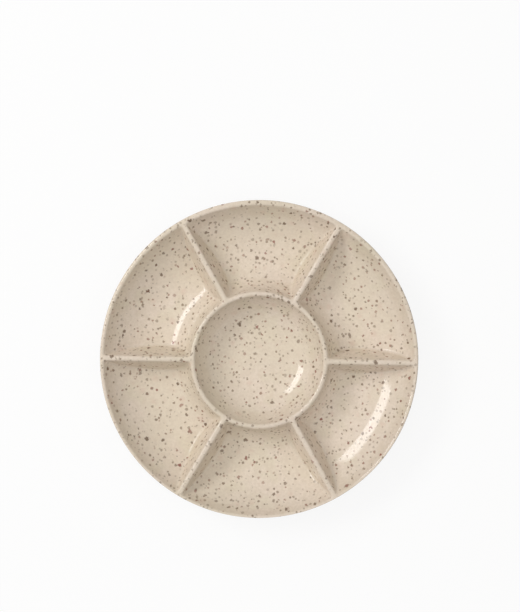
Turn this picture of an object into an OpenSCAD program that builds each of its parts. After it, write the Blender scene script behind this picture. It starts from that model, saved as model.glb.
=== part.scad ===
// Round serving bowl with a small centre bowl and a ring of sector-shaped compartments.
// Every wall and floor has one thickness, as pressed stoneware does. The ridges are folded
// walls, hollow underneath, and the members meet face to face along the lines where a
// potter would lute them together.

/* [Bowl] */
// Outside diameter over the lip
bowl_d = 300; // [284:1:330]
// Depth of every hollow, from the crests down to the floor
well_depth = 28; // [24:0.5:32]
// Thickness of walls and floors, which is also the width of the round lip
wall_t = 5; // [4:0.25:6]
// Length of wall, below the middle of the lip, that belongs to the rim
rim_band_w = 7; // [4:0.5:12]

/* [Centre bowl] */
// Diameter of the crest line round the centre bowl
centre_crest_d = 125.2; // [116:0.2:134]
// Diameter of the flat floor of the centre bowl
centre_flat_d = 44; // [36:1:52]

/* [Compartments] */
// Number of compartments, and of the dividers between them
compartment_count = 6; // [5:1:7]
// Diameter of the circle along the lowest line of the compartments
well_centre_d = 184; // [176:1:192]
// Slope of the compartments' inner wall below the crest, in degrees
ring_slope = 70; // [66:1:73]

/* [Dividers] */
// Width of the flat on top of a divider
divider_flat_w = 3.2; // [2:0.2:5]
// Radius of the two rounded edges beside that flat
divider_edge_r = 1.8; // [1.2:0.1:2.4]
// Slope of a divider's flanks, in degrees
divider_slope = 71; // [68:1:74]
// Radius of the fillet where a flank meets the floor
divider_base_r = 6; // [4:0.5:8]
// Slope at which that fillet runs out on the floor, in degrees
divider_toe_slope = 15; // [12:1:20]
// Height that the crest of a divider lies below the ring's crest and the lip
divider_drop_h = 0.3; // [0.2:0.1:1]
// Radius at the top of the groove under a divider
groove_r = 1.6; // [1:0.1:2.2]
// Distance from the bowl's outer edge at which that groove ends
groove_edge_w = 32; // [28:1:42]

/* [Foot] */
// Height of the foot ring
foot_h = 5; // [3:0.5:8]
// Width of the foot ring where it joins the floor
foot_w = 10; // [8:0.5:13]
// Width of the face that the bowl stands on
foot_face_w = 6; // [4:0.5:7.5]
// Rounding of that face's two edges
foot_edge_r = 1; // [0.5:0.1:1.5]

/* [Hidden] */
$fn = 96;

glaze_colour = [0.80, 0.74, 0.64];
bare_clay_colour = [0.70, 0.58, 0.46];

// Length that a cutting shape reaches past what it cuts
overrun = 1;
// Angle over which the straight part of a section overlaps the curved part beside it
lap_angle = 5;
right_angle = 90;
sector_angle = 360 / compartment_count;
// Most of the depth that the arc at the foot of the ring may take up
arc_depth_share = 0.95;

// Radii measured from the bowl's axis
edge_r = wall_t / 2;
crest_r = centre_crest_d / 2;
centre_flat_r = centre_flat_d / 2;
well_r = well_centre_d / 2;
lip_r = bowl_d / 2 - edge_r;
groove_end = bowl_d / 2 - groove_edge_w;

// Heights above the surface that the bowl stands on
under_z = foot_h;
floor_z = under_z + wall_t;
top_z = floor_z + well_depth;

// Radius of a hollow's arc that starts level on the floor and, after a run, just touches
// the round edge at the top of the wall
function hollow_arc_r(run) =
    (run * run + pow(well_depth - edge_r, 2) - edge_r * edge_r) / (2 * well_depth);

// Unit vector turned from straight down towards the rim
function down_turned(angle) = [sin(angle), -cos(angle)];

// Point where a ray meets a circle first
function ray_circle(start, direction, centre, radius) =
    let (
        offset = start - centre,
        along = offset * direction,
        reach = sqrt(along * along - offset * offset + radius * radius)
    )
    start - (along + reach) * direction;

centre_arc_r = hollow_arc_r(crest_r - centre_flat_r);
wall_arc_r = hollow_arc_r(lip_r - well_r);

// The ring's arc reaches the compartments' lowest line, unless it would then be higher than
// the straight wall over it allows: a level strip of floor takes up the rest of the way
ring_reach = (well_depth - edge_r) * cos(ring_slope) + edge_r;
ring_arc_full_r = ((well_r - crest_r) * sin(ring_slope) - ring_reach) / (1 - cos(ring_slope));
ring_arc_most_r = arc_depth_share * well_depth / (1 - cos(ring_slope)) - edge_r;
ring_arc_r = min(ring_arc_full_r, ring_arc_most_r);
level_w = ring_arc_full_r > ring_arc_most_r
    ? well_r - crest_r - (ring_arc_r * (1 - cos(ring_slope)) + ring_reach) / sin(ring_slope)
    : 0;

// Centres of the section's arcs, as distance from the axis and height
centre_arc_c = [centre_flat_r, floor_z + centre_arc_r];
wall_arc_c = [well_r, floor_z + wall_arc_r];
ring_arc_c = [well_r - level_w, floor_z + ring_arc_r];
crest_c = [crest_r, top_z - edge_r];
lip_c = [lip_r, top_z - edge_r];

// Angles at which the arcs run into the crest, the lip and the rim's joint
crest_angle = asin((crest_r - centre_flat_r) / (centre_arc_r + edge_r));
lip_angle = asin((lip_r - well_r) / (wall_arc_r + edge_r));
rim_angle = lip_angle - rim_band_w / (wall_arc_r + edge_r) * 180 / PI;

// The straight part of the ring's outer wall, from its arc up to the crest
ring_across = down_turned(-ring_slope);
ring_up = [-cos(ring_slope), sin(ring_slope)];
ring_foot_face = ring_arc_c + ring_arc_r * ring_across;
ring_foot_back = ring_foot_face + wall_t * ring_across;
ring_top_face = crest_c - edge_r * ring_across;
ring_top_back = crest_c + edge_r * ring_across;

// The two walls of the ring part at the top of the groove between them, and that is the
// height at which the compartments seat under the centre bowl's crest
groove_top = ray_circle(ring_foot_back, ring_up, centre_arc_c, centre_arc_r + wall_t);
seat_z = groove_top[1];

// Section of a divider, as distance from its middle plane and height
divider_z = top_z - divider_drop_h;
divider_edge_c = [divider_flat_w / 2, divider_z - divider_edge_r];
divider_shoulder = divider_edge_c
    + divider_edge_r * [sin(divider_slope), cos(divider_slope)];
function flank_x(z) = divider_shoulder[0] + (divider_shoulder[1] - z) / tan(divider_slope);
function groove_x(z) = flank_x(z) - wall_t / sin(divider_slope);
toe_c_z = floor_z + divider_base_r * cos(divider_toe_slope);
flank_end_z = toe_c_z - divider_base_r * cos(divider_slope);
toe_c = [flank_x(flank_end_z) + divider_base_r * sin(divider_slope), toe_c_z];
toe_x = toe_c[0] - divider_base_r * sin(divider_toe_slope);
groove_tip_z = divider_shoulder[1]
    - (wall_t / sin(divider_slope) - divider_shoulder[0]) * tan(divider_slope);
groove_c_z = groove_tip_z - groove_r / cos(divider_slope);

// Part of a disc between two angles from straight down, both under a right angle
module pie(centre, radius, from_angle, to_angle) {
    reach = radius / cos((to_angle - from_angle) / 4);
    translate(centre) intersection() {
        circle(r = radius);
        polygon(concat(
            [[0, 0]],
            [for (i = [0:2]) reach * down_turned(from_angle + (to_angle - from_angle) * i / 2)]
        ));
    }
}

// Wall of even thickness along an arc
module arc_wall(centre, radius, from_angle, to_angle) {
    difference() {
        pie(centre, radius + wall_t, from_angle, to_angle);
        translate(centre) circle(r = radius);
    }
}

// Outer wall of the ring, from the lowest line of the compartments up to the crest
module ring_wall_section() {
    arc_wall(ring_arc_c, ring_arc_r, -ring_slope, 0);
    polygon([
        ring_foot_face,
        ring_top_face,
        ring_top_back,
        ring_foot_back,
        ring_arc_c + (ring_arc_r + edge_r) * down_turned(lap_angle - ring_slope)
    ]);
}

// Level strip of floor between the ring's arc and the compartments' lowest line, with a thin
// tongue into what it joins
module level_section() {
    if (level_w > 0) translate([well_r - level_w, under_z]) {
        square([level_w, wall_t]);
        translate([-overrun, edge_r / 2]) square([level_w + 2 * overrun, edge_r]);
    }
}

// Everything higher than the compartments' seat under the crest
module above_seat() {
    translate([0, seat_z]) square([well_r, top_z - seat_z + overrun]);
}

module centre_bowl_section() {
    translate([0, under_z]) square([centre_flat_r, wall_t]);
    arc_wall(centre_arc_c, centre_arc_r, 0, crest_angle);
    translate(crest_c) circle(r = edge_r);
    intersection() {
        ring_wall_section();
        above_seat();
    }
}

module rim_section() {
    arc_wall(wall_arc_c, wall_arc_r, rim_angle, lip_angle);
    translate(lip_c) circle(r = edge_r);
}

// Floor and walls of a compartment, with a flat land under the floor for the foot ring
module compartment_section() {
    difference() {
        ring_wall_section();
        above_seat();
    }
    level_section();
    arc_wall(wall_arc_c, wall_arc_r, 0, rim_angle);
    translate([well_r - foot_w / 2, under_z]) square([foot_w, edge_r]);
}

// Free space over the compartments, from the centre bowl's crest to their lowest line
module inner_hollow_section() {
    difference() {
        translate([crest_r, 0]) square([well_r - crest_r, top_z]);
        difference() {
            union() {
                polygon([
                    [0, 0],
                    [well_r, 0],
                    [well_r, floor_z + edge_r],
                    ring_foot_face,
                    ring_top_face,
                    crest_c,
                    [0, crest_c[1]]
                ]);
                translate(crest_c) circle(r = edge_r);
            }
            translate(ring_arc_c) circle(r = ring_arc_r);
            if (level_w > 0) translate([well_r - level_w, floor_z]) square([level_w, ring_arc_r]);
        }
    }
}

// Free space over the compartments, from their lowest line to the lip
module outer_hollow_section() {
    difference() {
        union() {
            pie(wall_arc_c, wall_arc_r, 0, lip_angle);
            polygon([
                [well_r, floor_z + edge_r],
                lip_c - edge_r * down_turned(lip_angle),
                lip_c,
                [lip_r, top_z],
                [well_r, top_z]
            ]);
        }
        translate(lip_c) circle(r = edge_r);
    }
}

// Filled outline of a divider across its length
module ridge_outline() {
    toe_end = toe_c + divider_base_r * down_turned(-divider_toe_slope / 3);
    for (side = [0, 1]) mirror([side, 0]) {
        difference() {
            polygon([
                [0, 0],
                [toe_end[0], 0],
                toe_end,
                [flank_x(flank_end_z), flank_end_z],
                divider_shoulder,
                divider_edge_c,
                [divider_edge_c[0], divider_z],
                [0, divider_z]
            ]);
            translate(toe_c) circle(r = divider_base_r);
        }
        translate(divider_edge_c) circle(r = divider_edge_r);
    }
}

// Outline of the groove under a divider, across its length
module groove_outline() {
    low_z = under_z - overrun;
    side_z = groove_c_z + groove_r * cos(divider_slope);
    polygon([
        [-groove_x(low_z), low_z],
        [groove_x(low_z), low_z],
        [groove_r * sin(divider_slope), side_z],
        [-groove_r * sin(divider_slope), side_z]
    ]);
    translate([0, groove_c_z]) circle(r = groove_r);
}

// Stands an outline up across the +X direction and draws it out from one radius to another
module along_x(from_r, to_r) {
    translate([from_r, 0, 0]) rotate([right_angle, 0, right_angle])
        linear_extrude(height = to_r - from_r) children();
}

// Groove under the divider on +X, with its far end sloped like its sides
module groove() {
    low_z = under_z - overrun;
    intersection() {
        along_x(crest_r, groove_end) groove_outline();
        translate([0, toe_x, 0]) rotate([right_angle, 0, 0])
            linear_extrude(height = 2 * toe_x) polygon([
                [crest_r - overrun, low_z - overrun],
                [groove_end, low_z - overrun],
                [groove_end - (top_z - low_z) / tan(divider_slope), top_z],
                [crest_r - overrun, top_z]
            ]);
    }
}

// Sector of a revolved section, centred on the +X direction
module sector() {
    rotate([0, 0, -sector_angle / 2]) rotate_extrude(angle = sector_angle) children();
}

module centre_bowl() {
    color(glaze_colour) rotate_extrude() centre_bowl_section();
}

// One compartment, with its middle line turned to the given angle
module compartment(angle) {
    color(glaze_colour) rotate([0, 0, angle]) difference() {
        sector() compartment_section();
        for (side = [-1, 1]) rotate([0, 0, side * sector_angle / 2]) groove();
    }
}

// One divider, standing on the compartments' floors and running outwards at the given angle
module divider(angle) {
    color(glaze_colour) rotate([0, 0, angle]) difference() {
        intersection() {
            union() {
                sector() inner_hollow_section();
                sector() outer_hollow_section();
            }
            along_x(crest_r - overrun, lip_r + overrun) ridge_outline();
        }
        groove();
    }
}

module rim() {
    color(glaze_colour) rotate_extrude() rim_section();
}

module foot_ring() {
    face_x = foot_face_w / 2 - foot_edge_r;
    color(bare_clay_colour) rotate_extrude() translate([well_r, 0]) {
        polygon([
            [-face_x, 0],
            [face_x, 0],
            [face_x + foot_edge_r, foot_edge_r],
            [foot_w / 2, foot_h],
            [-foot_w / 2, foot_h],
            [-face_x - foot_edge_r, foot_edge_r]
        ]);
        for (side = [-1, 1]) translate([side * face_x, foot_edge_r]) circle(r = foot_edge_r);
    }
}

centre_bowl();
for (i = [1:compartment_count])
    compartment((i - 0.5) * sector_angle);
for (i = [1:compartment_count])
    divider((i - 1) * sector_angle);
rim();
foot_ring();
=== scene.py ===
import math
from collections import namedtuple

import bpy
import numpy as np
from mathutils import Matrix, Vector


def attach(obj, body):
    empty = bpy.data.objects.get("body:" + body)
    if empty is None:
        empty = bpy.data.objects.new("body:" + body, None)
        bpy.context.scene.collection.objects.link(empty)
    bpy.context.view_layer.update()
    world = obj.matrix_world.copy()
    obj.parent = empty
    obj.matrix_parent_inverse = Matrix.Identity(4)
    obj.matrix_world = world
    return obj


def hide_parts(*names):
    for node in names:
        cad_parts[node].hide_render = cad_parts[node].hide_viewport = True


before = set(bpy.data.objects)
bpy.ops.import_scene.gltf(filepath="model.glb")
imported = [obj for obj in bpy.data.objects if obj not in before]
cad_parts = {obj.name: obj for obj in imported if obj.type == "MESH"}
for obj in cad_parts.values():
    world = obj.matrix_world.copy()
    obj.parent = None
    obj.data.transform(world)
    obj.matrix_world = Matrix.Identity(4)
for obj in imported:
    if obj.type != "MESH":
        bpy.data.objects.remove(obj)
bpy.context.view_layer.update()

# A millimetre in metres
MM = 0.001
# Smallest length that is divided by
TINY = 1e-12

# The bowl's sizes in millimetres, as its solids have them
BOWL_D, WELL_DEPTH, WALL_T, RIM_BAND = 300.0, 28.0, 5.0, 7.0
CREST_R, FLAT_R, WELL_R = 62.6, 22.0, 92.0
COUNT = 6
RING_SLOPE, DIVIDER_SLOPE = math.radians(70), math.radians(71)
DIVIDER_DROP = 0.3
GROOVE_R, GROOVE_END = 1.6, 118.0
FOOT_H, FOOT_W, FOOT_FACE, FOOT_EDGE = 5.0, 10.0, 6.0, 1.0
# Height at which the centre bowl's piece ends on the compartments', under its crest
SEAT_Z = 28.9

# Radii of the level circles of the upper surface, where the photograph's highlights put them
SEEN_FLAT_R, SEEN_WELL_R = 23.5, 95.0
# Flat on top of a divider and radius of its shoulders, from the photograph's bright lines
DIVIDER_FLAT, DIVIDER_EDGE = 0.9, 2.35
# Radius of the fillets between the dividers and what they run into
FILLET = 3.6
# Distances from the ring's crest and the lip between which a divider's crest turns into theirs
FLARE_FROM, FLARE_TO = 2.0, 9.0
# How far out of the middle of its tube the lip's crest lies all round, and how much more
# towards the photograph's lower edge and less towards its upper edge
CREST_OUT, CREST_LOWER = 0.55, 1.35
# Radius from which the outer wall follows the crest
CREST_FROM = 118.0
# Roundings underneath: between the two shells, at a groove's outer end, and at its mouth
SHELL_FILLET, GROOVE_END_EDGE, GROOVE_MOUTH = 1.0, 1.0, 0.8
# Height at which a groove's sloped end is GROOVE_END from the bowl's middle
GROOVE_END_Z = 4.0
# Depth by which the foot ring is let into the shell
FOOT_LET_IN = 1.0


def arc_rise(radius, slope):
    """Height that an arc gains from level to a slope."""
    return radius * (1 - math.cos(slope))


EDGE_R = WALL_T / 2
LIP_R = BOWL_D / 2 - EDGE_R
FLOOR_Z = FOOT_H + WALL_T
TOP_Z = FLOOR_Z + WELL_DEPTH
SECTOR = 2 * math.pi / COUNT

# Upper end of a divider's straight flank, and the tip and the rounded top of the groove in it
FLANK_X = DIVIDER_FLAT / 2 + DIVIDER_EDGE * math.sin(DIVIDER_SLOPE)
FLANK_Z = TOP_Z - DIVIDER_DROP - arc_rise(DIVIDER_EDGE, DIVIDER_SLOPE)
GROOVE_TIP = FLANK_Z - (WALL_T / math.sin(DIVIDER_SLOPE) - FLANK_X) * math.tan(DIVIDER_SLOPE)
GROOVE_TOP = GROOVE_TIP - GROOVE_R / math.cos(DIVIDER_SLOPE) + GROOVE_R


def smooth(low, high, x):
    """Eased step from 0 at low to 1 at high."""
    share = np.clip((x - low) / (high - low), 0, 1)
    return share * share * (3 - 2 * share)


def unit(vectors):
    """The same directions with a length of 1."""
    return vectors / np.maximum(np.linalg.norm(vectors, axis=-1, keepdims=True), TINY)


def around(radius, turns, height):
    """Grid of vectors with these lengths across and along the bowl's axis."""
    x, y, z = np.broadcast_arrays(radius * np.cos(turns), radius * np.sin(turns), height)
    return np.stack([x, y, z], -1)


def filleted(a, b, reach):
    """Joins two solids, given as distances outside them, with a fillet."""
    corner = np.hypot(np.maximum(reach - a, 0), np.maximum(reach - b, 0))
    return np.maximum(reach, np.minimum(a, b)) - corner


def rounded(a, b, reach):
    """Keeps what two solids have in common, with its edge rounded."""
    corner = np.hypot(np.maximum(reach + a, 0), np.maximum(reach + b, 0))
    return np.minimum(-reach, np.maximum(a, b)) + corner


def arc_distance(along, z, radius, angle):
    """Distance above a surface that starts level, curves up and runs on straight at an angle."""
    down = FLOOR_Z + radius - z
    turn = np.arctan2(along, down)
    curve = radius - np.hypot(along, down)
    straight = radius - along * math.sin(angle) - down * math.cos(angle)
    return np.where(along <= 0, z - FLOOR_Z, np.where(turn < angle, curve, straight))


def hollow_arc_r(run):
    """Radius of the arc that starts level and meets a rounded edge whose middle is a run away."""
    return (run ** 2 + (WELL_DEPTH - EDGE_R) ** 2 - EDGE_R ** 2) / (2 * WELL_DEPTH)


class Section:
    """The bowl's section: a level middle and arc, the ring's arc, and the outer wall's arc."""

    def __init__(self, flat_r, well_r):
        self.flat_r, self.well_r = flat_r, well_r
        self.centre_arc = hollow_arc_r(CREST_R - flat_r)
        self.wall_arc = hollow_arc_r(LIP_R - well_r)
        self.ring_arc = (((well_r - CREST_R) * math.sin(RING_SLOPE)
                          - (WELL_DEPTH - EDGE_R) * math.cos(RING_SLOPE) - EDGE_R)
                         / (1 - math.cos(RING_SLOPE)))
        self.crest_angle = math.asin((CREST_R - flat_r) / (self.centre_arc + EDGE_R))
        self.lip_angle = math.asin((LIP_R - well_r) / (self.wall_arc + EDGE_R))

    def centre(self, r, z):
        """Distance above the centre bowl's surface."""
        return arc_distance(r - self.flat_r, z, self.centre_arc, self.crest_angle)

    def ring(self, r, z):
        """Distance above the compartments' surface."""
        return np.where(r < self.well_r,
                        arc_distance(self.well_r - r, z, self.ring_arc, RING_SLOPE),
                        arc_distance(r - self.well_r, z, self.wall_arc, self.lip_angle))

    def floor_height(self, r):
        """Height of the compartments' surface where no divider stands."""
        along = np.where(r < self.well_r, self.well_r - r, r - self.well_r)
        arc = np.where(r < self.well_r, self.ring_arc, self.wall_arc)
        steepest = np.where(r < self.well_r, RING_SLOPE, self.lip_angle)
        along = np.minimum(along, arc * np.sin(steepest))
        return FLOOR_Z + arc - np.sqrt(arc ** 2 - along ** 2)


# The sections of the upper surface, as the photograph shows it, and of the lower one
UPPER, LOWER = Section(SEEN_FLAT_R, SEEN_WELL_R), Section(FLAT_R, WELL_R)

# Slope at which the rim meets the compartments, and the radii of that joint on top and underneath
RIM_ANGLE = LOWER.lip_angle - RIM_BAND / (LOWER.wall_arc + EDGE_R)
RIM_TOP_R = WELL_R + LOWER.wall_arc * math.sin(RIM_ANGLE)
RIM_LOW_R = WELL_R + (LOWER.wall_arc + WALL_T) * math.sin(RIM_ANGLE)
# Radius at which the lip's tube ends underneath
LIP_LOW_R = LIP_R + EDGE_R * math.sin(LOWER.lip_angle)
# Radius at which the centre bowl meets the compartments
SEAT_R = CREST_R + EDGE_R * math.sin(RING_SLOPE) + (
    TOP_Z - arc_rise(EDGE_R, RING_SLOPE) - SEAT_Z) / math.tan(RING_SLOPE)


def flank_x(z):
    """Distance of a divider's flank from its middle."""
    return FLANK_X + (FLANK_Z - z) / math.tan(DIVIDER_SLOPE)


def flank(across, z):
    """Distance outside a divider's flanks."""
    return (np.abs(across) - flank_x(z)) * math.sin(DIVIDER_SLOPE)


def fold(x, y):
    """Radius, and place along and across the nearest divider."""
    r = np.hypot(x, y)
    turn = np.arctan2(y, x)
    turn = turn - SECTOR * np.round(turn / SECTOR)
    return r, r * np.cos(turn), r * np.sin(turn)


def over(x, y, z):
    """Distance above the bowl's upper surface, up to the middle of the lip."""
    r, _, across = fold(x, y)
    compartments = filleted(UPPER.ring(r, z), flank(across, z), arc_rise(FILLET, DIVIDER_SLOPE))
    body = np.maximum(compartments, UPPER.centre(r, z))
    share = smooth(FLARE_FROM, FLARE_TO, np.minimum(np.abs(r - CREST_R), LIP_R - r))
    at_end = np.where(r < WELL_R, arc_rise(EDGE_R, RING_SLOPE), arc_rise(EDGE_R, UPPER.lip_angle))
    edge = at_end + (arc_rise(DIVIDER_EDGE, DIVIDER_SLOPE) - at_end) * share
    return rounded(body, z - (TOP_Z - DIVIDER_DROP * share), edge)


def under(x, y, z):
    """Distance below the bowl's lower surface, up to the outside of the lip."""
    r, along, across = fold(x, y)
    shell = filleted(-LOWER.ring(r, z) - WALL_T, -LOWER.centre(r, z) - WALL_T, SHELL_FILLET)
    groove = rounded(flank(across, z) + WALL_T, z - GROOVE_TOP, arc_rise(GROOVE_R, DIVIDER_SLOPE))
    end = ((along - GROOVE_END) * math.sin(DIVIDER_SLOPE)
           + (z - GROOVE_END_Z) * math.cos(DIVIDER_SLOPE))
    groove = np.where(r < CREST_R, WALL_T, rounded(groove, end, GROOVE_END_EDGE))
    # The air is what lies outside the shell, and the groove
    return -filleted(-shell, groove, GROOVE_MOUTH)


# Heights between which the upper and the lower surface are searched, and how often that is halved
OVER_SEARCH, UNDER_SEARCH = (5.0, 40.0), (0.0, 37.0)
HALVINGS = 28
# Step to each side over which a surface's normal is measured
NUDGE = 0.01


def solve(field, x, y, search, rising):
    """Heights at which a field that rises or falls with height is zero."""
    low, high = np.full(x.shape, search[0]), np.full(x.shape, search[1])
    for _ in range(HALVINGS):
        middle = (low + high) / 2
        past = (field(x, y, middle) > 0) == rising
        low, high = np.where(past, low, middle), np.where(past, middle, high)
    return (low + high) / 2


def field_normals(field, x, y, z):
    """Unit normals of the surface on which a field is zero."""
    return unit(np.stack([field(x + NUDGE, y, z) - field(x - NUDGE, y, z),
                          field(x, y + NUDGE, z) - field(x, y - NUDGE, z),
                          field(x, y, z + NUDGE) - field(x, y, z - NUDGE)], -1))


# Distances from a divider's middle to the mesh's columns on and beside its crest
NEAR = np.array([0, 0.45, 0.9, 1.25, 1.55, 1.8, 2.05, 2.3, 2.6, 2.9, 3.2, 3.5])
# How far the columns of a flank reach past its foot, and the height up to which the foot is followed
TOE_REACH, TOE_TOP_Z = 4.6, 36.0
# Columns on a flank, and from its foot to the compartment's middle
FLANK_STEPS, FLOOR_STEPS = 22, 14
# Columns on one side of a divider, in a whole sector and all round
SIDE = len(NEAR) - 1 + FLANK_STEPS
SECTOR_COLUMNS = 2 * (SIDE + FLOOR_STEPS)
COLUMNS = SECTOR_COLUMNS * COUNT
# Rows round the outer half of the lip, points round one edge of the foot, and its columns
LIP_ROWS, FOOT_EDGE_POINTS, FOOT_COLUMNS = 16, 9, 360


def column_turns(r):
    """Angles of the mesh's columns from a divider's middle to a compartment's middle."""
    r = max(r, SEAT_R)
    toe = flank_x(min(float(UPPER.floor_height(r)), TOE_TOP_Z)) + TOE_REACH
    across = np.concatenate([NEAR, np.linspace(NEAR[-1], toe, FLANK_STEPS + 1)[1:]])
    turns = np.arcsin(across / r)
    return np.concatenate([turns, np.linspace(turns[-1], SECTOR / 2, FLOOR_STEPS + 1)[1:]])


def ring_of_turns(r):
    """Angles of all columns at a radius."""
    half = column_turns(r)
    one = np.concatenate([half[:-1], SECTOR - half[:0:-1]])
    return np.concatenate([one + SECTOR * k for k in range(COUNT)])


def spaced(stops, last):
    """Radii of rows through the stops, each a radius and the step from there on, up to the last."""
    ends = [radius for radius, _ in stops[1:]] + [last]
    rows = []
    for (start, step), end in zip(stops, ends):
        count = max(1, round((end - start) / step))
        rows += list(start + (end - start) * np.arange(count) / count)
    return np.array(rows + [last])


# Zones of the surface from the middle outward, and their rows on top and underneath
CENTRE, RING, RIM = range(3)
TOP_ROWS = [
    spaced([(1.0, 1.5), (20.0, 1.0), (56.0, 0.5), (59.5, 0.28)], SEAT_R),
    spaced([(SEAT_R, 0.5), (74.0, 0.9), (120.0, 0.8)], RIM_TOP_R),
    spaced([(RIM_TOP_R, 0.5), (144.0, 0.25)], LIP_R),
]
LOW_ROWS = [
    spaced([(1.0, 3.0), (22.0, 1.5), (58.0, 0.6)], SEAT_R),
    spaced([(SEAT_R, 0.6), (72.0, 1.2), (112.0, 0.8), (120.0, 1.2)], RIM_LOW_R),
    spaced([(RIM_LOW_R, 1.0)], LIP_LOW_R),
]


def surface(field, rows, search, rising):
    """Points and normals, row by row, of the surface on which a field is zero."""
    turns = np.stack([ring_of_turns(r) for r in rows])
    x, y = rows[:, None] * np.cos(turns), rows[:, None] * np.sin(turns)
    z = solve(field, x, y, search, rising)
    return np.stack([x, y, z], -1), field_normals(field, x, y, z)


def crest_shift(turns):
    """How far the lip's crest lies out of the middle of its tube."""
    return CREST_OUT - CREST_LOWER * np.sin(turns)


def follow_crest(points):
    """Moves the outer wall's points outward with the lip's crest."""
    turns = np.arctan2(points[..., 1], points[..., 0])
    share = smooth(CREST_FROM, LIP_R, np.hypot(points[..., 0], points[..., 1]))
    return points + around(crest_shift(turns) * share, turns, 0.0)


def lip_surface():
    """Points and normals of the lip's outer half, from its crest round to the underside."""
    tilt = np.linspace(math.pi / 2, -(math.pi / 2 - LOWER.lip_angle), LIP_ROWS)
    level, rise = np.cos(tilt)[:, None], np.sin(tilt)[:, None]
    turns = ring_of_turns(LIP_R)
    shift = crest_shift(turns)
    reach = LIP_R + EDGE_R * level + shift * np.where(rise > 0, 1 - level, 0)
    upward = rise * np.where(rise > 0, 1 - shift / EDGE_R, 1)
    return around(reach, turns, TOP_Z - EDGE_R + EDGE_R * rise), unit(around(level, turns, upward))


tops = [surface(over, rows, OVER_SEARCH, True) for rows in TOP_ROWS]
tops = [(follow_crest(points), normals) for points, normals in tops]
lows = [surface(under, rows, UNDER_SEARCH, False) for rows in LOW_ROWS]
lip = lip_surface()


def resampled(line, count):
    """The line with another number of points, spread evenly over the ones that it has."""
    place = np.linspace(0, len(line) - 1, count)
    before = np.minimum(place.astype(int), len(line) - 2)
    return line[before] + (line[before + 1] - line[before]) * (place - before)[:, None]


def link(thing):
    """Puts an object into the scene."""
    bpy.context.scene.collection.objects.link(thing)
    return thing


class Piece:
    """Gathers points, each with its normal, and the faces between them, and makes the mesh."""

    def __init__(self, name):
        self.name = name
        self.points, self.normals, self.faces, self.smooth = [], [], [], []
        self.count = 0

    def add(self, points, normals, faces, flip, is_smooth):
        """Adds points and the faces between them, which count from the first of these points."""
        self.points.append(points)
        self.normals.append(normals)
        self.faces.append((faces[:, ::-1] if flip else faces) + self.count)
        self.smooth.append(np.full(len(faces), is_smooth))
        self.count += len(points)

    def patch(self, points, normals, flip=False, is_smooth=True):
        """Quads between the rows and columns of a grid of points."""
        index = np.arange(points[..., 0].size).reshape(points.shape[:2])
        quads = np.stack([index[:-1, :-1], index[1:, :-1], index[1:, 1:], index[:-1, 1:]], -1)
        self.add(points.reshape(-1, 3), normals.reshape(-1, 3), quads.reshape(-1, 4), flip, is_smooth)

    def fan(self, points, normals, flip=False):
        """Closes the middle of a round patch to a point."""
        ring = points[0]
        upright = [0, 0, math.copysign(1, normals[0, 0, 2])]
        first = np.arange(len(ring) - 1)
        triangles = np.stack([np.full(len(first), len(ring)), first, first + 1], -1)
        self.add(np.vstack([ring, ring.mean(0)]), np.vstack([normals[0], upright]), triangles,
                 flip, True)

    def strip(self, a, b):
        """A flat band between two lines of points."""
        count = max(len(a), len(b))
        band = np.stack([resampled(a, count), resampled(b, count)])
        facing = np.cross(band[1, :-1] - band[0, :-1], band[0, 1:] - band[0, :-1])
        facing = unit(np.vstack([facing, facing[-1:]]))
        self.patch(band, np.stack([facing, facing]), is_smooth=False)

    def build(self):
        """Makes the object, with its points in metres."""
        mesh = bpy.data.meshes.new(self.name)
        faces = [face for block in self.faces for face in block.tolist()]
        mesh.from_pydata((np.vstack(self.points) * MM).tolist(), [], faces)
        mesh.polygons.foreach_set("use_smooth", np.concatenate(self.smooth))
        mesh.normals_split_custom_set_from_vertices(np.vstack(self.normals).tolist())
        mesh.update()
        return link(bpy.data.objects.new(self.name, mesh))


def columns(grid, first, last):
    """Columns first to last of a closed grid, running on past its end where needed."""
    return grid[:, np.arange(first, last + 1) % COLUMNS]


def shell_piece(name, zone, first, last):
    """Closed mesh of what lies in a zone between two columns."""
    piece = Piece(name)
    top, top_normals = (columns(grid, first, last) for grid in tops[zone])
    low, low_normals = (columns(grid, first, last) for grid in lows[zone])
    piece.patch(top, top_normals)
    piece.patch(low, low_normals, flip=True)
    if zone == CENTRE:
        piece.fan(top, top_normals)
        piece.fan(low, low_normals, flip=True)
    if zone == RIM:
        piece.patch(*(columns(grid, first, last) for grid in lip))
    else:
        piece.strip(top[-1], low[-1])
    if zone != CENTRE:
        piece.strip(low[0], top[0])
    if last - first < COLUMNS:
        piece.strip(top[:, 0], low[:, 0])
        piece.strip(low[:, -1], top[:, -1])
    return piece.build()


def foot_piece():
    """Ring of bare clay, let a little into the shell's lower surface."""
    face = FOOT_FACE / 2 - FOOT_EDGE
    slope = math.atan2(FOOT_W / 2 - face - FOOT_EDGE, FOOT_H - FOOT_EDGE)
    half = [(FOOT_W / 2, FOOT_H + FOOT_LET_IN), (FOOT_W / 2, FOOT_H)]
    for tilt in np.linspace(-slope, math.pi / 2, FOOT_EDGE_POINTS):
        half.append((face + FOOT_EDGE * math.cos(tilt), FOOT_EDGE - FOOT_EDGE * math.sin(tilt)))
    outer, inner = [(WELL_R + x, z) for x, z in half], [(WELL_R - x, z) for x, z in half[::-1]]
    profile = np.array(outer + inner)
    along = np.gradient(profile, axis=0)
    facing = unit(np.stack([-along[:, 1], along[:, 0]], -1))
    turns = np.linspace(0, 2 * math.pi, FOOT_COLUMNS + 1)
    points = around(profile[:, :1], turns, profile[:, 1:])
    piece = Piece("foot_ring_clay")
    piece.patch(points, around(facing[:, :1], turns, facing[:, 1:]))
    piece.strip(points[-1], points[0])
    return piece.build()


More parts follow.
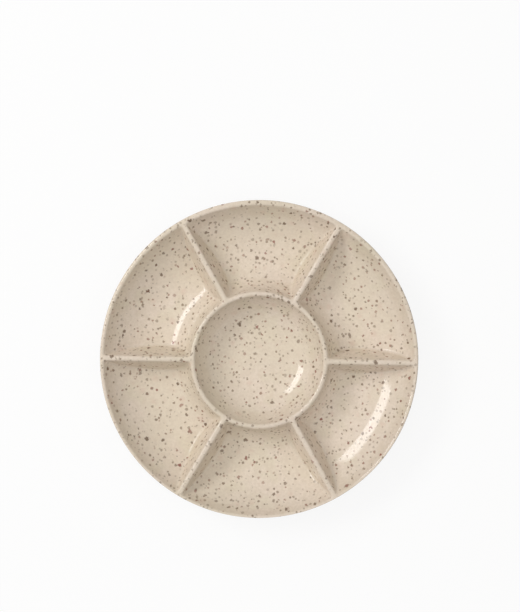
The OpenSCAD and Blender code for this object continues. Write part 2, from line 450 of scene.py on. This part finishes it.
def dress(piece, node):
    """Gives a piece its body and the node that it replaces."""
    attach(piece, "root")
    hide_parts(node)
    return piece


def glazed_piece(node, zone, first, last):
    """The glazed piece for a node, from a zone between two columns."""
    return dress(shell_piece(node + "_glazed", zone, first, last), node)


glazed = [glazed_piece("centre_bowl", CENTRE, 0, COLUMNS)]
for k in range(COUNT):
    middle = SECTOR_COLUMNS * k
    glazed.append(glazed_piece("divider_%d" % (k + 1), RING, middle - SIDE, middle + SIDE))
    glazed.append(glazed_piece("compartment_%d" % (k + 1), RING, middle + SIDE,
                               middle + SECTOR_COLUMNS - SIDE))
glazed.append(glazed_piece("rim", RIM, 0, COLUMNS))
foot = dress(foot_piece(), "foot_ring")


class Nodes:
    """Shorthand for building the node tree of a material or of the world."""

    def __init__(self, owner, out_kind="ShaderNodeOutputMaterial"):
        self.owner = owner
        owner.use_nodes = True
        self.tree = owner.node_tree
        self.tree.nodes.clear()
        self.out = self.tree.nodes.new(out_kind)

    def finish(self, shader):
        """Ends the tree with this shader, and gives back what the tree belongs to."""
        self.tree.links.new(shader.outputs[0], self.out.inputs[0])
        return self.owner

    def put(self, socket, value):
        """Links another node's output to a socket, or gives the socket a value."""
        if isinstance(value, bpy.types.NodeSocket):
            self.tree.links.new(value, socket)
        elif value is not None:
            socket.default_value = value

    def node(self, kind, inputs=(), **settings):
        """Adds a node with these inputs, by name or number, and settings."""
        node = self.tree.nodes.new(kind)
        for key, value in settings.items():
            setattr(node, key, value)
        for key, value in dict(inputs).items():
            self.put(node.inputs[key], value)
        return node

    def math(self, operation, a, b=None):
        return self.node("ShaderNodeMath", {0: a, 1: b}, operation=operation).outputs[0]

    def vector(self, operation, inputs):
        return self.node("ShaderNodeVectorMath", inputs, operation=operation).outputs[0]

    def ramp(self, value, low, high, to_low=0.0, to_high=1.0, kind="SMOOTHSTEP"):
        """Takes a value from one range to another."""
        node = self.node("ShaderNodeMapRange", {
            "Value": value, "From Min": low, "From Max": high, "To Min": to_low, "To Max": to_high,
        }, interpolation_type=kind)
        return node.outputs[0]

    def mix(self, share, a, b):
        """Mixes two colours, whose sockets come after those for numbers and vectors."""
        node = self.node("ShaderNodeMix", data_type="RGBA", blend_type="MIX")
        self.put(node.inputs[0], share)
        self.put(node.inputs[6], a)
        self.put(node.inputs[7], b)
        return node.outputs[2]

    def noise(self, place, scale, detail=2.0, roughness=0.5):
        node = self.node("ShaderNodeTexNoise", {
            "Vector": place, "Scale": scale, "Detail": detail, "Roughness": roughness})
        return node.outputs["Fac"]

    def seen(self):
        """1 for what the camera sees, itself or in a reflection, and 0 for light on the bowl."""
        path = self.node("ShaderNodeLightPath")
        return self.math("MAXIMUM", path.outputs["Is Camera Ray"], path.outputs["Is Glossy Ray"])


def linear(levels):
    """Shader colour of the sRGB colour with these levels in 255."""
    colour = []
    for level in levels:
        share = level / 255
        colour.append(share / 12.92 if share <= 0.04045 else ((share + 0.055) / 1.055) ** 2.4)
    return (*colour, 1.0)


# A grid of cells with one spot at most in each: cells in a metre, share of them with a spot, the
# spots' smallest and largest radius and soft edge as shares of a cell, and a seed
Cells = namedtuple("Cells", "scale share small large soft seed")

# How much finer than the cells the noise is that frays the spots, and its strength in cells
FRAY_SCALE, FRAY = 3.0, 0.5
# Colour round which a coloured noise varies
MIDDLE_GREY = (0.5, 0.5, 0.5)


def spots(nodes, place, cells, share=None):
    """Mask of irregular round spots of mixed size, and a random tone for each of them."""
    # Each seed takes another part of the endless pattern
    moved = nodes.vector("ADD", {0: place, 1: (cells.seed, cells.seed * 0.7, -cells.seed)})
    fray = nodes.node("ShaderNodeTexNoise", {
        "Vector": moved, "Scale": cells.scale * FRAY_SCALE, "Detail": 2.0})
    shift = nodes.vector("SUBTRACT", {0: fray.outputs["Color"], 1: MIDDLE_GREY})
    shift = nodes.vector("SCALE", {0: shift, "Scale": FRAY / cells.scale})
    moved = nodes.vector("ADD", {0: moved, 1: shift})
    cell = nodes.node("ShaderNodeTexVoronoi", {"Vector": moved, "Scale": cells.scale, "Randomness": 1.0})
    pick = nodes.node("ShaderNodeSeparateColor", {"Color": cell.outputs["Color"]})
    there = nodes.math("LESS_THAN", pick.outputs[0], cells.share if share is None else share)
    size = nodes.ramp(pick.outputs[1], 0.0, 1.0, cells.small, cells.large, "LINEAR")
    inside = nodes.ramp(nodes.math("SUBTRACT", size, cell.outputs["Distance"]), 0.0, cells.soft)
    return nodes.math("MULTIPLY", inside, there), pick.outputs[2]


# The glaze's layers of spots, each with its usual and its rarer colour and its least and most depth
GLAZE_SPOTS = [
    (Cells(285.0, 0.42, 0.30, 0.50, 0.20, 3.1), (142, 124, 104), (152, 116, 98), 0.35, 0.95),
    (Cells(200.0, 0.54, 0.20, 0.42, 0.18, 7.3), (124, 105, 86), (140, 102, 86), 0.40, 1.00),
    (Cells(125.0, 0.25, 0.16, 0.33, 0.13, 1.7), (118, 98, 79), (142, 94, 80), 0.60, 1.00),
]
# The noise by which these spots crowd: its scale, its levels where they are fewest and most, and
# what a layer's share of cells is multiplied by there
CROWD_SCALE, CROWD_LEVELS, FEWEST, MOST = 70.0, (0.35, 0.65), 0.7, 1.2
# Tones between which a spot turns from its usual to its rarer colour
RARE_FROM, RARE_FULL = 0.62, 0.80
# Factor that makes a second random number of a spot's tone
SECOND_DRAW = 7.31
# The pink bloom round some of the spots: its cells, colour and depth
BLOOM, BLOOM_COLOUR, BLOOM_DEPTH = Cells(105.0, 0.5, 0.2, 0.55, 0.5, 5.2), (204, 168, 150), 0.28
# The grains in the bare clay: their cells, darkest and palest colour, and depth
GRAINS, GRAIN_DEPTH = Cells(700.0, 0.25, 0.1, 0.4, 0.2, 2.2), 0.7
DARKEST_GRAIN, PALEST_GRAIN = (120, 92, 74), (214, 196, 174)
# Scales and heights of the glaze's soft waves and fine pores
WAVE_SCALE, WAVE_HEIGHT, PORE_SCALE, PORE_HEIGHT = 60.0, 0.6, 500.0, 0.03
# The noise by which the glaze's roughness varies: its scale, its usual levels and the roughness there
GLOSS_SCALE, GLOSS_LEVELS, GLAZE_ROUGHNESS = 160.0, (0.3, 0.7), (0.08, 0.12)
# The clay's roughness, and the scale of its fine relief
CLAY_ROUGHNESS, TOOTH_SCALE = 0.85, 1600.0
# Refractive index of the glaze and the clay
IOR = 1.45

# Clouds of another colour: scale, detail and roughness of their noise, its levels between which the
# colour comes in, how much of it there is at most, and the colour
Clouds = namedtuple("Clouds", "scale detail roughness low high most colour")

BEIGE = (219, 206, 186)
BEIGE_CLOUDS = [
    Clouds(16.0, 3.0, 0.55, 0.38, 0.62, 1.00, (224, 209, 193)),
    Clouds(34.0, 2.0, 0.50, 0.52, 0.70, 0.55, (215, 205, 180)),
    Clouds(130.0, 4.0, 0.65, 0.42, 0.70, 0.40, (209, 193, 172)),
    Clouds(420.0, 3.0, 0.60, 0.35, 0.65, 0.50, (208, 193, 174)),
]
CLAY = (190, 164, 138)
CLAY_CLOUDS = [Clouds(60.0, 4.0, 0.60, 0.35, 0.65, 1.00, (174, 146, 119))]


def clouded(nodes, place, base, layers):
    """A colour with clouds of other colours laid over it, one after the other."""
    colour = linear(base)
    for layer in layers:
        noise = nodes.noise(place, layer.scale, layer.detail, layer.roughness)
        share = nodes.ramp(noise, layer.low, layer.high, to_high=layer.most)
        colour = nodes.mix(share, colour, linear(layer.colour))
    return colour


def stoneware(nodes, colour, roughness, strength, distance, height):
    """Finishes a material with this colour and roughness, and relief of this strength."""
    bump = nodes.node("ShaderNodeBump", {"Strength": strength, "Distance": distance, "Height": height})
    return nodes.finish(nodes.node("ShaderNodeBsdfPrincipled", {
        "Base Color": colour, "Roughness": roughness, "IOR": IOR, "Normal": bump.outputs[0]}))


def glaze():
    """Glossy beige glaze with brown and reddish spots."""
    nodes = Nodes(bpy.data.materials.new("speckled_glaze"))
    place = nodes.node("ShaderNodeTexCoord").outputs["Object"]
    colour = clouded(nodes, place, BEIGE, BEIGE_CLOUDS)
    crowd = nodes.noise(place, CROWD_SCALE)
    for cells, usual, rarer, least, most in GLAZE_SPOTS:
        share = nodes.ramp(crowd, *CROWD_LEVELS, cells.share * FEWEST, cells.share * MOST, "LINEAR")
        mask, tone = spots(nodes, place, cells, share)
        shade = nodes.mix(nodes.ramp(tone, RARE_FROM, RARE_FULL), linear(usual), linear(rarer))
        draw = nodes.math("FRACT", nodes.math("MULTIPLY", tone, SECOND_DRAW))
        depth = nodes.ramp(draw, 0.0, 1.0, least, most, "LINEAR")
        colour = nodes.mix(nodes.math("MULTIPLY", mask, depth), colour, shade)
    bloom, _ = spots(nodes, place, BLOOM)
    colour = nodes.mix(nodes.math("MULTIPLY", bloom, BLOOM_DEPTH), colour, linear(BLOOM_COLOUR))
    waves = nodes.math("MULTIPLY", nodes.noise(place, WAVE_SCALE), WAVE_HEIGHT)
    pores = nodes.math("MULTIPLY", nodes.noise(place, PORE_SCALE), PORE_HEIGHT)
    gloss = nodes.noise(place, GLOSS_SCALE, detail=3.0)
    roughness = nodes.ramp(gloss, *GLOSS_LEVELS, *GLAZE_ROUGHNESS)
    return stoneware(nodes, colour, roughness, strength=0.035, distance=0.001,
                     height=nodes.math("ADD", waves, pores))


def bare_clay():
    """Rough clay with dark and pale grains."""
    nodes = Nodes(bpy.data.materials.new("bare_clay"))
    place = nodes.node("ShaderNodeTexCoord").outputs["Object"]
    colour = clouded(nodes, place, CLAY, CLAY_CLOUDS)
    grains, tone = spots(nodes, place, GRAINS)
    grain_colour = nodes.mix(tone, linear(DARKEST_GRAIN), linear(PALEST_GRAIN))
    colour = nodes.mix(nodes.math("MULTIPLY", grains, GRAIN_DEPTH), colour, grain_colour)
    tooth = nodes.noise(place, TOOTH_SCALE, detail=3.0, roughness=0.7)
    return stoneware(nodes, colour, CLAY_ROUGHNESS, strength=0.35, distance=0.0004, height=tooth)


glaze_material, clay_material = glaze(), bare_clay()
for piece in glazed:
    piece.data.materials.append(glaze_material)
foot.data.materials.append(clay_material)
for node_name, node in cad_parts.items():
    node.data.materials.clear()
    node.data.materials.append(clay_material if node_name == "foot_ring" else glaze_material)

# Half the floor's side in metres, the grey that it has in the light, and how much plain white is
# mixed in where it is seen
FLOOR_REACH, FLOOR_GREY, FLOOR_GLOW = 4.0, 0.86, 0.85
WHITE = (1.0, 1.0, 1.0, 1.0)


def floor_material():
    """Grey in the lamp's light, and nearly plain white where it is seen."""
    nodes = Nodes(bpy.data.materials.new("pale_floor"))
    plain = nodes.node("ShaderNodeBsdfDiffuse", {"Color": (FLOOR_GREY, FLOOR_GREY, FLOOR_GREY, 1.0)})
    white = nodes.node("ShaderNodeEmission", {"Color": WHITE, "Strength": 1.0})
    return nodes.finish(nodes.node("ShaderNodeMixShader", {
        0: nodes.math("MULTIPLY", nodes.seen(), FLOOR_GLOW), 1: plain.outputs[0], 2: white.outputs[0]}))


def flat_floor(half):
    """Square floor under the bowl's foot."""
    mesh = bpy.data.meshes.new("floor")
    mesh.from_pydata([(-half, -half, 0), (half, -half, 0), (half, half, 0), (-half, half, 0)], [],
                     [(0, 1, 2, 3)])
    floor = link(bpy.data.objects.new("floor", mesh))
    floor.data.materials.append(floor_material())


flat_floor(FLOOR_REACH)

# Watts that each square metre of a lamp takes for a radiance of 1
LAMP_WATTS = 4
# Point in metres that the lamp faces
LAMP_AIM = Vector((0, 0, 0.03))


def softbox(azimuth, distance, height, width, tall, radiance):
    """Rectangular lamp facing the bowl, with its long side level."""
    turn = math.radians(azimuth)
    place = Vector((distance * math.cos(turn), distance * math.sin(turn), height))
    lamp = bpy.data.lights.new("softbox", "AREA")
    lamp.shape, lamp.size, lamp.size_y = "RECTANGLE", width, tall
    lamp.energy = radiance * LAMP_WATTS * width * tall
    lamp_object = link(bpy.data.objects.new("softbox", lamp))
    lamp_object.rotation_euler = (LAMP_AIM - place).to_track_quat("-Z", "Y").to_euler()
    lamp_object.location = place


softbox(azimuth=154.0, distance=2.0, height=1.72, width=1.50, tall=0.76, radiance=6.1)

# Strength of the soft light at the horizon, what it gains evenly with height, and what it gains
# mostly overhead, by this power of the height
SKY_LOW, SKY_GAIN, SKY_TOP, SKY_POWER = 0.03, 0.78, 0.57, 4.0
SKY_COLOUR = (1.0, 0.995, 0.985, 1.0)


def studio_world():
    """White where it is seen, and a soft light on the bowl that is strongest overhead."""
    nodes = Nodes(bpy.data.worlds.new("studio"), "ShaderNodeOutputWorld")
    way = nodes.node("ShaderNodeTexCoord").outputs["Generated"]
    height = nodes.math("MAXIMUM", nodes.node("ShaderNodeSeparateXYZ", {0: way}).outputs[2], 0.0)
    overhead = nodes.math("MULTIPLY", nodes.math("POWER", height, SKY_POWER), SKY_TOP)
    level = nodes.math("ADD", nodes.math("MULTIPLY", height, SKY_GAIN), overhead)
    strength = nodes.math("ADD", level, SKY_LOW)
    fill = nodes.node("ShaderNodeBackground", {"Color": SKY_COLOUR, "Strength": strength})
    white = nodes.node("ShaderNodeBackground", {"Color": WHITE, "Strength": 1.0})
    return nodes.finish(nodes.node("ShaderNodeMixShader", {
        0: nodes.seen(), 1: fill.outputs[0], 2: white.outputs[0]}))


bpy.context.scene.world = studio_world()
bpy.context.scene.view_settings.view_transform = "Standard"

# The photograph's size, the pixel on which the bowl's middle lies, and its scale
IMAGE_W, IMAGE_H = 520, 612
MIDDLE_X, MIDDLE_Y = 259.13, 360.6
MM_PER_PIXEL = 0.9397
# The camera's distance from the middle of the lip's level in metres, its lean from straight above
# towards +Y, its roll, and its sensor in millimetres
DISTANCE, LEAN, ROLL, SENSOR = 0.9, math.radians(3.5), math.radians(0.95), 36.0


def photograph_camera():
    """Camera almost straight above the bowl, with +Y upwards in the picture."""
    data = bpy.data.cameras.new("camera")
    data.sensor_width = SENSOR
    data.lens = SENSOR * DISTANCE / (IMAGE_H * MM_PER_PIXEL * MM)
    data.shift_x = (IMAGE_W / 2 - MIDDLE_X) / IMAGE_H
    data.shift_y = (MIDDLE_Y - IMAGE_H / 2) / IMAGE_H
    data.clip_start, data.clip_end = 0.05, 20.0
    back = Vector((0.0, math.sin(LEAN), math.cos(LEAN)))
    right = Vector((1.0, 0.0, 0.0))
    turned = Matrix.Rotation(ROLL, 4, back)
    axes = Matrix((turned @ right, turned @ back.cross(right), back)).transposed().to_4x4()
    camera = link(bpy.data.objects.new("camera", data))
    camera.matrix_world = Matrix.Translation(Vector((0.0, 0.0, TOP_Z * MM)) + back * DISTANCE) @ axes
    return camera


bpy.context.scene.camera = photograph_camera()
